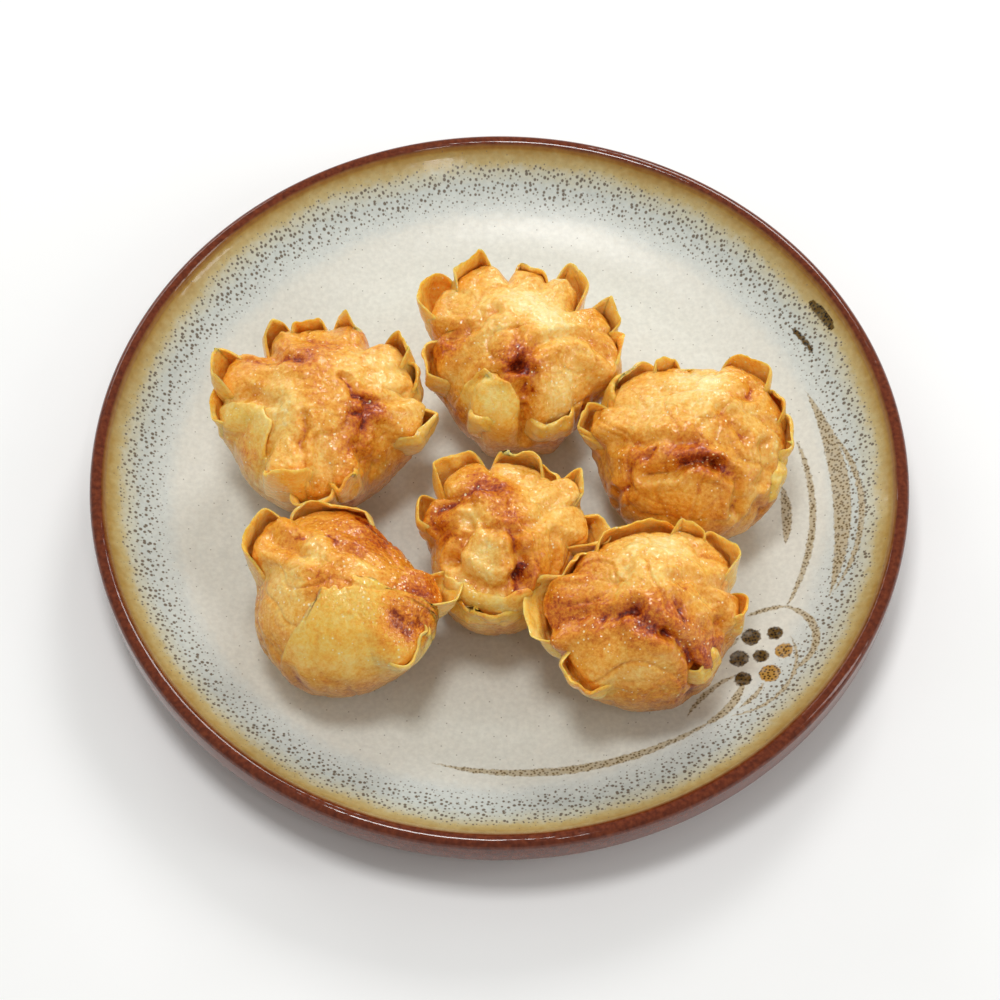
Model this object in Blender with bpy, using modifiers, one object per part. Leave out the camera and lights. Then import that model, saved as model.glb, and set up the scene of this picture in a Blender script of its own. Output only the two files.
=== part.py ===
"""Six fried siu mai dumplings on a round stoneware side plate. Metres, +Z up.

The origin is at the middle of the plate's foot, and -Y is the side nearest the eater.
Each dumpling is a stuffed ball, whose skin of dough is fried onto the filling, with the loose
outer part of its wrapper round it. That is a cup that hugs the ball, and its frilled edge stands
off round the upper half or lies over the top as a flap.
"""

from collections import namedtuple
from math import atan2, cos, degrees, pi, radians, sin

import bmesh
import bpy
from mathutils import Vector

MM = 0.001

# ---- driving dimensions, in millimetres ----
PLATE_RADIUS = 95.0
LIP_RADIUS = 1.85            # half the thickness of the rolled lip
LIP_HEIGHT = 19.6            # middle of the lip above the table
FLOOR_HEIGHT = 8.0           # top of the plate's flat floor
FLOOR_RADIUS = 62.0          # where the floor starts to curve up
INNER_CURVE_POWER = 1.85     # how late the inside curves up
OUTER_CURVE_POWER = 1.9      # fullness of the plate's underside
OUTER_STRAIGHT = 5.0         # upright stretch under the lip
OUTER_BOTTOM = 0.9           # where the underside meets the foot ring
FOOT_RADIUS = 58.5           # outside of the foot ring
FOOT_WIDTH = 4.0
FOOT_CHAMFER = 0.5           # bevel on the foot's two edges
FOOT_DEPTH = 2.4             # how far the recess inside the foot ring lies off the table
PLATE_STEPS = 60

WRAPPER_THICKNESS = 0.8
GAP = 0.35                   # clearance between neighbouring solids
FACET_ROOM = 0.65            # more room inside a wrapper, for its flat facets
BASE_FLATTENING = 1.6        # how much of the ball's bottom is pressed flat
LUMP_HEIGHT = 0.7            # how uneven the ball is, most of all near its top
EDGE_LATITUDE = 22.0         # where the wrapper's edge lies between its frills, in degrees
FREE_LATITUDE = -38.0        # below this the wrapper clings to the ball
OUT_POWER = 1.9              # how late a frill leaves the ball sideways
UP_POWER = 2.4               # how late it rises
WRAPPER_COLUMNS = 40
WRAPPER_ROWS = 6
BALL_COLUMNS = 20
BALL_ROWS = 8

# A frill is a fold of the wrapper's edge that stands off the ball: the middle and the half
# width are in degrees round the ball, and it reaches out and up by so many millimetres.
Frill = namedtuple("Frill", "at half out up")

# A flap is a stretch of the edge that lies on the ball, up to the latitude given in degrees.
Flap = namedtuple("Flap", "at half latitude")

# The ball's radius and height are in millimetres. It is wider along the direction oval_at by
# the share oval, and x and y are its middle on the plate.
Dumpling = namedtuple("Dumpling", "x y radius height oval oval_at frills flaps")

DUMPLINGS = (
    Dumpling(
        -41.0, 7.5, 20.0, 36.0, 0.03, 35.0,
        (
            Frill(30, 15, 5.0, 7.0),
            Frill(75, 12, 4.5, 9.5),
            Frill(97, 9, 1.5, 5.0),
            Frill(117, 11, 3.5, 8.5),
            Frill(138, 9, 3.5, 7.5),
            Frill(155, 13, 8.0, 5.0),
            Frill(188, 14, 6.0, 2.0),
            Frill(250, 11, 3.0, 4.0),
            Frill(294, 13, 4.0, 3.0),
            Frill(325, 10, 3.5, -3.0),
            Frill(349, 14, 8.5, 1.5),
        ),
        (Flap(205, 30, 42),),
    ),
    Dumpling(
        5.0, 22.5, 19.0, 37.0, 0.02, 100.0,
        (
            Frill(22, 12, 4.0, 6.0),
            Frill(54, 12, 4.0, 9.0),
            Frill(85, 10, 2.5, 9.5),
            Frill(122, 17, 8.0, 11.0),
            Frill(152, 12, 7.5, 6.0),
            Frill(186, 12, 5.2, 0.5),
            Frill(208, 9, 2.0, 1.0),
            Frill(240, 16, 3.0, 3.0),
            Frill(284, 12, 3.5, 0.0),
            Frill(325, 12, 3.0, -1.0),
            Frill(355, 14, 6.5, 2.0),
        ),
        (Flap(244, 26, 48),),
    ),
    Dumpling(
        44.0, -1.0, 19.8, 34.5, 0.03, 0.0,
        (
            Frill(0, 12, 5.5, 0.5),
            Frill(25, 10, 6.0, 4.5),
            Frill(44, 13, 6.0, 7.5),
            Frill(74, 12, 2.0, 5.0),
            Frill(103, 11, 2.5, 8.0),
            Frill(130, 13, 4.0, 6.5),
            Frill(162, 10, 6.5, 2.5),
            Frill(196, 14, 2.5, 0.5),
            Frill(335, 11, 4.0, 1.0),
        ),
        (Flap(275, 58, 58),),
    ),
    Dumpling(
        -35.7, -39.8, 18.7, 35.5, 0.03, 112.0,
        (
            Frill(1, 12, 6.0, 2.0),
            Frill(20, 10, 1.2, 4.5),
            Frill(90, 62, 2.8, 5.0),
            Frill(50, 10, 1.5, 1.5),
            Frill(72, 9, 0.8, 1.6),
            Frill(93, 9, 0.5, 1.2),
            Frill(112, 9, 1.2, 1.6),
            Frill(143, 14, 5.5, 6.5),
            Frill(180, 13, 2.5, 1.0),
            Frill(212, 13, 2.0, 0.0),
            Frill(325, 16, 5.0, 0.5),
        ),
        (Flap(248, 62, 66),),
    ),
    Dumpling(
        1.0, -26.0, 16.2, 34.0, 0.06, 59.0,
        (
            Frill(12, 10, 6.5, 2.0),
            Frill(36, 9, 6.0, 4.5),
            Frill(85, 55, 2.4, 4.5),
            Frill(55, 9, 1.0, 2.5),
            Frill(75, 9, 0.8, 2.5),
            Frill(108, 12, 3.0, 4.0),
            Frill(134, 12, 6.0, 5.0),
            Frill(158, 11, 5.0, 3.5),
            Frill(186, 9, 1.0, 0.5),
            Frill(248, 18, 3.0, -1.0),
            Frill(300, 12, 2.0, 0.0),
        ),
        (Flap(236, 56, 60),),
    ),
    Dumpling(
        33.2, -43.8, 18.0, 35.5, 0.06, 59.0,
        (
            Frill(68, 62, 2.6, 4.5),
            Frill(28, 10, 3.6, 3.0),
            Frill(44, 9, 2.4, 3.2),
            Frill(60, 10, 1.4, 3.5),
            Frill(80, 11, 0.5, 2.5),
            Frill(106, 12, 0.8, 2.5),
            Frill(146, 16, 2.0, 5.5),
            Frill(179, 20, 7.5, 2.0),
            Frill(208, 16, 5.5, 0.5),
            Frill(238, 14, 4.0, 0.0),
            Frill(317, 12, 3.5, 0.0),
            Frill(358, 11, 6.0, 2.5),
        ),
        (Flap(272, 40, 46),),
    ),
)


def make_material(name, colour, roughness):
    material = bpy.data.materials.new(name)
    material.use_nodes = True
    shader = material.node_tree.nodes["Principled BSDF"]
    shader.inputs["Base Color"].default_value = (*colour, 1.0)
    shader.inputs["Roughness"].default_value = roughness
    shader.inputs["Metallic"].default_value = 0.0
    return material


def clear_scene():
    for leftover in list(bpy.data.objects):
        bpy.data.objects.remove(leftover, do_unlink=True)


def make_object(name, mesh, material, collection):
    mesh.materials.append(material)
    made = bpy.data.objects.new(name, mesh)
    collection.objects.link(made)
    return made


# ---- the plate ----
def lip_arc():
    """The rolled lip, from its inner foot over the top to its outside."""
    middle = PLATE_RADIUS - LIP_RADIUS
    turns = [radians(turn) for turn in (170, 120, 60, 0)]
    return [
        (middle + LIP_RADIUS * cos(turn), LIP_HEIGHT + LIP_RADIUS * sin(turn))
        for turn in turns
    ]


def inner_curve(lip_foot):
    """From the edge of the flat floor up to the foot of the lip."""
    top_radius, top_height = lip_foot
    points = []
    for share in (0.0, 0.28, 0.54, 0.76, 0.92):
        radius = FLOOR_RADIUS + (top_radius - FLOOR_RADIUS) * share
        rise = (top_height - FLOOR_HEIGHT) * share**INNER_CURVE_POWER
        points.append((radius, FLOOR_HEIGHT + rise))
    return points


def outer_curve():
    """The underside, full and round, from below the lip in to the foot ring."""
    top = LIP_HEIGHT - OUTER_STRAIGHT
    points = []
    for share in (1.0, 0.96, 0.86, 0.68, 0.4, 0.0):
        radius = FOOT_RADIUS + (PLATE_RADIUS - FOOT_RADIUS) * share
        fall = (1.0 - share**OUTER_CURVE_POWER) ** (1.0 / OUTER_CURVE_POWER)
        points.append((radius, top - (top - OUTER_BOTTOM) * fall))
    return points


def foot_outline():
    """The foot ring, flat underneath, and the recess inside it."""
    inside = FOOT_RADIUS - FOOT_WIDTH
    return [
        (FOOT_RADIUS - FOOT_CHAMFER, 0.0),
        (inside + FOOT_CHAMFER, 0.0),
        (inside - 0.5 * FOOT_DEPTH, FOOT_DEPTH),
        (0.0, FOOT_DEPTH),
    ]


def make_plate(collection):
    lip = lip_arc()
    outline = [(0.0, FLOOR_HEIGHT)]
    outline += inner_curve(lip[0])
    outline += lip
    outline += outer_curve()
    outline += foot_outline()
    mesh = bpy.data.meshes.new("plate")
    corners = [(radius * MM, 0.0, height * MM) for radius, height in outline]
    edges = [(index, index + 1) for index in range(len(outline) - 1)]
    mesh.from_pydata(corners, edges, [])
    glaze = make_material("cream_stoneware_glaze", (0.70, 0.66, 0.58), 0.2)
    plate = make_object("plate", mesh, glaze, collection)
    turning = plate.modifiers.new("turned_on_the_wheel", "SCREW")
    turning.axis = "Z"
    turning.steps = PLATE_STEPS
    turning.render_steps = PLATE_STEPS
    turning.use_merge_vertices = True
    turning.merge_threshold = 0.00002
    turning.use_smooth_shade = True
    return plate


# ---- the dumplings ----
def bell(offset):
    """1 in the middle of a frill, falling smoothly to 0 at offset -1 and 1."""
    return cos(0.5 * pi * offset) ** 2 if abs(offset) < 1.0 else 0.0


def degrees_between(angle, middle):
    """How far angle lies past middle, from -180 to 180 degrees."""
    return (angle - middle + 180.0) % 360.0 - 180.0


def rim_at(dumpling, angle):
    """The latitude of the wrapper's edge, and how far it stands out and up from the ball."""
    latitude = EDGE_LATITUDE
    for flap in dumpling.flaps:
        climb = bell(degrees_between(angle, flap.at) / flap.half)
        latitude += (flap.latitude - EDGE_LATITUDE) * climb
    out = 0.0
    up = 0.0
    for frill in dumpling.frills:
        share = bell(degrees_between(angle, frill.at) / frill.half)
        out += frill.out * share
        up += frill.up * share
    return latitude, out, up


def lump(dumpling, around, over):
    """How far the stuffed ball bulges past an even one, in broad hollows and humps."""
    turned = radians(dumpling.oval_at)
    humps = sin(3.0 * around + turned) * cos(over) ** 2
    humps += sin(2.0 * around - 2.0 * turned) * sin(2.0 * over)
    return LUMP_HEIGHT * humps * (0.5 + 0.5 * sin(over))


def ball_point(dumpling, angle, latitude, grown):
    """A point of the ball, grown by some millimetres, from its middle."""
    around = radians(angle)
    over = radians(latitude)
    width = 1.0 + dumpling.oval * cos(2.0 * radians(angle - dumpling.oval_at))
    more = grown + lump(dumpling, around, over)
    reach = (dumpling.radius * width + more) * cos(over)
    lowest = -(0.5 * dumpling.height - BASE_FLATTENING + grown)
    height = max((0.5 * dumpling.height + more) * sin(over), lowest)
    return Vector((reach * cos(around), reach * sin(around), height))


def wrapper_point(dumpling, angle, share):
    """A point on the wrapper's inner face: share is 0 under the ball and 1 at the edge."""
    edge, out, up = rim_at(dumpling, angle)
    latitude = -90.0 + (edge + 90.0) * share
    point = ball_point(dumpling, angle, latitude, GAP + FACET_ROOM)
    free = max(0.0, (latitude - FREE_LATITUDE) / (edge - FREE_LATITUDE))
    around = radians(angle)
    outward = Vector((cos(around), sin(around), 0.0))
    return point + outward * out * free**OUT_POWER + Vector((0.0, 0.0, up)) * free**UP_POWER


def ringed_ball(columns, rows):
    """A ball of radius 1 made of rings, from pole to pole."""
    made = bmesh.new()
    bmesh.ops.create_uvsphere(made, u_segments=columns, v_segments=rows, radius=1.0)
    return made


def place_of(vertex):
    """The angle round the ball and the latitude of a vertex, in degrees."""
    direction = vertex.co.normalized()
    return (
        degrees(atan2(direction.y, direction.x)),
        degrees(atan2(direction.z, direction.xy.length)),
    )


def make_ball(dumpling, name, material, collection):
    made = ringed_ball(BALL_COLUMNS, BALL_ROWS)
    for vertex in made.verts:
        angle, latitude = place_of(vertex)
        vertex.co = ball_point(dumpling, angle, latitude, 0.0) * MM
    mesh = bpy.data.meshes.new(name)
    made.to_mesh(mesh)
    made.free()
    mesh.shade_smooth()
    return make_object(name, mesh, material, collection)


def make_wrapper(dumpling, name, material, collection):
    rows = WRAPPER_ROWS + 1
    made = ringed_ball(WRAPPER_COLUMNS, rows)
    top = max(made.verts, key=lambda vertex: vertex.co.z)
    bmesh.ops.delete(made, geom=[top], context="VERTS")
    ring_step = 180.0 / rows
    for vertex in made.verts:
        angle, latitude = place_of(vertex)
        share = (latitude + 90.0) / (180.0 - ring_step)
        vertex.co = wrapper_point(dumpling, angle, share) * MM
    mesh = bpy.data.meshes.new(name)
    made.to_mesh(mesh)
    made.free()
    mesh.shade_smooth()
    wrapper = make_object(name, mesh, material, collection)
    sheet = wrapper.modifiers.new("rolled_dough", "SOLIDIFY")
    sheet.thickness = WRAPPER_THICKNESS * MM
    sheet.offset = 1.0
    sheet.use_quality_normals = True
    return wrapper


def middle_height(dumpling):
    """How high the middle of the ball stands above the table, with the wrapper under it."""
    under = GAP + WRAPPER_THICKNESS + GAP + FACET_ROOM
    return FLOOR_HEIGHT + under + 0.5 * dumpling.height - BASE_FLATTENING


def make_dumplings(collection):
    skin = make_material("browned_dough_skin", (0.66, 0.37, 0.12), 0.35)
    frill = make_material("golden_dough_sheet", (0.72, 0.43, 0.12), 0.35)
    for number, dumpling in enumerate(DUMPLINGS, start=1):
        middle = bpy.data.objects.new(f"dumpling_{number}", None)
        collection.objects.link(middle)
        height = middle_height(dumpling)
        middle.location = Vector((dumpling.x, dumpling.y, height)) * MM
        ball = make_ball(dumpling, f"stuffed_ball_{number}", skin, collection)
        wrapper = make_wrapper(dumpling, f"frilled_wrapper_{number}", frill, collection)
        ball.parent = middle
        wrapper.parent = middle


clear_scene()
parts = bpy.data.collections.new("siu_mai_on_a_plate")
bpy.context.scene.collection.children.link(parts)
make_plate(parts)
make_dumplings(parts)
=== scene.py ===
from collections import namedtuple
from math import asin, atan2, cos, hypot, pi, radians, sin

import bpy
import numpy as np
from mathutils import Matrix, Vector


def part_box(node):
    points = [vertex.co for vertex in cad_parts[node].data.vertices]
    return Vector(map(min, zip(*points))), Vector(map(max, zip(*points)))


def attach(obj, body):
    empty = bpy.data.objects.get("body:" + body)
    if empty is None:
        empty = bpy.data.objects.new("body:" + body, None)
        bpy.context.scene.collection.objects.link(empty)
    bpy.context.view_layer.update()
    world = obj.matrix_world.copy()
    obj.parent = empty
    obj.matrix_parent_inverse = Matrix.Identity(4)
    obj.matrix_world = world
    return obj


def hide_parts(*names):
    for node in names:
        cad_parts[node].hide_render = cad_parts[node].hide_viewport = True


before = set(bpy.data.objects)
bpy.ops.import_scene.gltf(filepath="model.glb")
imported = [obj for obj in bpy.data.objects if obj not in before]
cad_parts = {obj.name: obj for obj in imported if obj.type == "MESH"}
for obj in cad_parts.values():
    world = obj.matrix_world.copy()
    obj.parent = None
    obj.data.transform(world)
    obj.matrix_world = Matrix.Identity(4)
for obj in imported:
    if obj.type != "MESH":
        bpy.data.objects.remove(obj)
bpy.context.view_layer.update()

# ---- The plate ----
# A side plate of stoneware, thrown on a wheel. A cream glaze covers the inside, an ochre one
# that breaks into dark specks runs down from the lip, and an iron-brown one covers the lip and
# the back. The flowers are brushed on in iron oxide before the firing. The foot ring is bare.

MM = 0.001
plate_low, plate_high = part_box("plate")
PLATE_RADIUS = plate_high.x / MM
LIP_RADIUS = 1.85            # of the rolled lip's own round section, in mm like all that follow
LIP_HEIGHT = plate_high.z / MM - LIP_RADIUS
FLOOR_HEIGHT = 8.0           # top of the flat floor above the table
FLOOR_RADIUS = 62.0          # where the inner wall starts to rise
INNER_CURVE_POWER = 1.85     # 1 is a straight wall, and more is one that steepens outwards
OUTER_CURVE_POWER = 1.9      # 2 is a quarter of an ellipse
OUTER_STRAIGHT = 5.0         # how far the back runs straight down from the lip
OUTER_BOTTOM = 0.9           # height of the back where it meets the foot ring
FOOT_RADIUS = 58.5
FOOT_WIDTH = 4.0
FOOT_CHAMFER = 0.5
FOOT_DEPTH = 2.4             # height of the hollow inside the foot ring
PLATE_STEPS = 256            # facets round the plate


def plate_outline():
    """The plate's section in mm, from the middle of its floor over the lip to the middle below."""
    middle = PLATE_RADIUS - LIP_RADIUS
    lip = [
        (middle + LIP_RADIUS * cos(turn), LIP_HEIGHT + LIP_RADIUS * sin(turn))
        for turn in np.radians(np.linspace(170.0, 0.0, 18))
    ]
    foot_of_lip, top_of_lip = lip[0]
    outline = [(radius, FLOOR_HEIGHT) for radius in np.linspace(0.0, FLOOR_RADIUS, 9)]
    for share in np.linspace(0.0, 1.0, 24)[1:-1]:
        radius = FLOOR_RADIUS + (foot_of_lip - FLOOR_RADIUS) * share
        rise = (top_of_lip - FLOOR_HEIGHT) * share**INNER_CURVE_POWER
        outline.append((radius, FLOOR_HEIGHT + rise))
    outline += lip
    top = LIP_HEIGHT - OUTER_STRAIGHT
    for turn in np.radians(np.linspace(0.0, 90.0, 26)):
        share = cos(turn)
        fall = (1.0 - share**OUTER_CURVE_POWER) ** (1.0 / OUTER_CURVE_POWER)
        radius = FOOT_RADIUS + (PLATE_RADIUS - FOOT_RADIUS) * share
        outline.append((radius, top - (top - OUTER_BOTTOM) * fall))
    inside = FOOT_RADIUS - FOOT_WIDTH
    outline += [
        (FOOT_RADIUS - FOOT_CHAMFER, 0.0),
        (inside + FOOT_CHAMFER, 0.0),
        (inside - FOOT_DEPTH / 2, FOOT_DEPTH),
    ]
    outline += [(radius, FOOT_DEPTH) for radius in np.linspace(inside - 4.0, 0.0, 5)]
    return outline


def linear(colour):
    """A hex sRGB colour such as "d8d2c6" as linear red, green, blue and alpha."""
    parts = [int(colour[index : index + 2], 16) / 255 for index in (0, 2, 4)]
    turned = [
        part / 12.92 if part <= 0.04045 else ((part + 0.055) / 1.055) ** 2.4
        for part in parts
    ]
    return (*turned, 1.0)


def add_node(tree, kind, settings=None, links=None):
    """Adds a node. A setting names one of its inputs, or else one of its own properties."""
    made = tree.nodes.new(kind)
    for name, value in (settings or {}).items():
        if isinstance(name, str) and name not in made.inputs:
            setattr(made, name, value)
        elif not isinstance(name, str) or made.inputs[name].enabled:
            made.inputs[name].default_value = value
    for name, socket in (links or {}).items():
        tree.links.new(socket, made.inputs[name])
    return made


def set_stops(ramp, stops):
    """Gives a ColorRamp its stops, each a position and a hex colour."""
    row = ramp.color_ramp.elements
    while len(row) < len(stops):
        row.new(1.0)
    for element, (position, colour) in zip(row, stops):
        element.position = position
        element.color = linear(colour)


# A brush stroke is an arc through three points of the plate, seen from above, in mm. It is
# width mm wide, and its taper is 0.3 where the brush was lifted at once and 1 for a thin tip.
Stroke = namedtuple("Stroke", "start middle end width taper")
OLIVE_STROKES = (
    Stroke((72.9, 26.5), (80.0, -4.0), (75.0, -31.5), 4.4, 1.0),
    Stroke((77.0, 16.0), (84.2, -5.3), (75.9, -30.0), 1.7, 0.6),
    Stroke((70.7, 13.0), (73.4, -6.0), (66.1, -31.0), 1.9, 0.35),
    Stroke((66.6, 2.0), (67.4, -6.5), (66.6, -14.5), 2.8, 0.8),
    Stroke((65.9, -31.1), (61.8, -31.4), (56.8, -33.0), 1.5, 0.5),
    Stroke((55.0, -38.6), (52.7, -40.3), (51.0, -42.6), 1.5, 0.5),
    Stroke((65.4, -31.0), (71.9, -40.6), (66.2, -49.2), 2.1, 0.45),
    Stroke((66.4, -39.5), (66.2, -50.2), (51.6, -59.9), 1.2, 0.4),
    Stroke((54.0, -48.4), (48.0, -52.0), (42.2, -59.0), 1.6, 0.5),
    Stroke((59.6, -51.6), (57.2, -55.2), (53.6, -58.0), 1.4, 0.5),
    Stroke((55.0, -51.2), (52.4, -56.5), (46.5, -61.3), 2.3, 0.3),
    Stroke((49.5, -59.5), (27.5, -69.7), (-15.5, -70.0), 2.5, 0.75),
)
DARK_STROKES = (
    Stroke((74.7, 47.4), (77.6, 43.6), (79.9, 39.1), 2.5, 0.3),
    Stroke((70.4, 42.4), (73.1, 38.8), (75.3, 34.8), 1.5, 0.4),
)
DOT_TURN = 1000.0            # a dot is a stroke round its own middle, with no end
DARK_DOTS = (
    (57.6, -38.5, 4.8), (63.0, -38.1, 3.9), (59.5, -44.0, 3.8),
    (54.6, -44.2, 4.7), (55.1, -49.9, 4.2),
)
OCHRE_DOTS = ((64.6, -43.3, 4.4), (61.1, -49.2, 5.0))


def arc_through(stroke):
    """Middle, radius, facing and half turn of the arc through a stroke's three points."""
    (ax, ay), (bx, by), (cx, cy) = stroke.start, stroke.middle, stroke.end
    twice = 2.0 * (ax * (by - cy) + bx * (cy - ay) + cx * (ay - by))
    a, b, c = ax**2 + ay**2, bx**2 + by**2, cx**2 + cy**2
    x = (a * (by - cy) + b * (cy - ay) + c * (ay - by)) / twice
    y = (a * (cx - bx) + b * (ax - cx) + c * (bx - ax)) / twice
    radius = hypot(ax - x, ay - y)
    half_chord = 0.5 * hypot(ax - cx, ay - cy)
    facing = atan2(0.5 * (ay + cy) - y, 0.5 * (ax + cx) - x)
    return (x, y, 0.0), radius, facing, asin(half_chord / radius)


def stroke_group():
    """A node group: how much paint one brush stroke leaves at a place on the plate."""
    tree = bpy.data.node_groups.new("brush_stroke", "ShaderNodeTree")
    face = tree.interface
    face.new_socket("Place", in_out="INPUT", socket_type="NodeSocketVector")
    face.new_socket("Middle", in_out="INPUT", socket_type="NodeSocketVector")
    for name in ("Radius", "Facing", "Half Turn", "Width", "Taper"):
        face.new_socket(name, in_out="INPUT", socket_type="NodeSocketFloat")
    face.new_socket("Paint", in_out="OUTPUT", socket_type="NodeSocketFloat")
    given = add_node(tree, "NodeGroupInput").outputs
    away = add_node(
        tree, "ShaderNodeVectorMath", {"operation": "SUBTRACT"},
        {0: given["Place"], 1: given["Middle"]},
    )
    reach = add_node(
        tree, "ShaderNodeVectorMath", {"operation": "LENGTH"}, {0: away.outputs[0]}
    )
    parts = add_node(tree, "ShaderNodeSeparateXYZ", links={0: away.outputs[0]})
    angle = add_node(
        tree, "ShaderNodeMath", {"operation": "ARCTAN2"}, {0: parts.outputs[1], 1: parts.outputs[0]}
    )
    turned = add_node(
        tree, "ShaderNodeMath", {"operation": "SUBTRACT"},
        {0: angle.outputs[0], 1: given["Facing"]},
    )
    wrapped = add_node(
        tree, "ShaderNodeMath", {"operation": "WRAP", 1: pi, 2: -pi}, {0: turned.outputs[0]}
    )
    along = add_node(
        tree, "ShaderNodeMath", {"operation": "DIVIDE"},
        {0: wrapped.outputs[0], 1: given["Half Turn"]},
    )
    squared = add_node(
        tree, "ShaderNodeMath", {"operation": "MULTIPLY"},
        {0: along.outputs[0], 1: along.outputs[0]},
    )
    left = add_node(
        tree, "ShaderNodeMath", {"operation": "SUBTRACT", 0: 1.0, "use_clamp": True},
        {1: squared.outputs[0]},
    )
    shape = add_node(
        tree, "ShaderNodeMath", {"operation": "POWER"}, {0: left.outputs[0], 1: given["Taper"]}
    )
    half = add_node(
        tree, "ShaderNodeMath", {"operation": "MULTIPLY"},
        {0: shape.outputs[0], 1: given["Width"]},
    )
    halved = add_node(
        tree, "ShaderNodeMath", {"operation": "MULTIPLY", 1: 0.5}, {0: half.outputs[0]}
    )
    off = add_node(
        tree, "ShaderNodeMath", {"operation": "SUBTRACT"},
        {0: reach.outputs["Value"], 1: given["Radius"]},
    )
    beside = add_node(tree, "ShaderNodeMath", {"operation": "ABSOLUTE"}, {0: off.outputs[0]})
    inside = add_node(
        tree, "ShaderNodeMath", {"operation": "SUBTRACT"},
        {0: halved.outputs[0], 1: beside.outputs[0]},
    )
    soft_edge = add_node(
        tree, "ShaderNodeMath", {"operation": "MULTIPLY", 1: 3.0, "use_clamp": True},
        {0: inside.outputs[0]},
    )
    add_node(tree, "NodeGroupOutput", links={0: soft_edge.outputs[0]})
    return tree


def painted(tree, group, place, strokes):
    """The paint of several strokes, each a tuple of middle, radius, facing, half turn, width
    and taper. Where they cross, the fuller one shows."""
    total = None
    for middle, radius, facing, half_turn, width, taper in strokes:
        stroke = add_node(
            tree, "ShaderNodeGroup",
            {
                "node_tree": group, "Middle": middle, "Radius": radius, "Facing": facing,
                "Half Turn": half_turn, "Width": width, "Taper": taper,
            },
            {"Place": place},
        )
        if total is None:
            total = stroke.outputs[0]
        else:
            both = add_node(
                tree, "ShaderNodeMath", {"operation": "MAXIMUM"}, {0: total, 1: stroke.outputs[0]}
            )
            total = both.outputs[0]
    return total


def stroke_values(strokes):
    """What painted takes, for strokes along arcs."""
    return [(*arc_through(stroke), stroke.width, stroke.taper) for stroke in strokes]


def dot_values(dots):
    """What painted takes, for dots given by their middle and width in mm."""
    return [((x, y, 0.0), 0.0, 0.0, DOT_TURN, width, 1.0) for x, y, width in dots]


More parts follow.
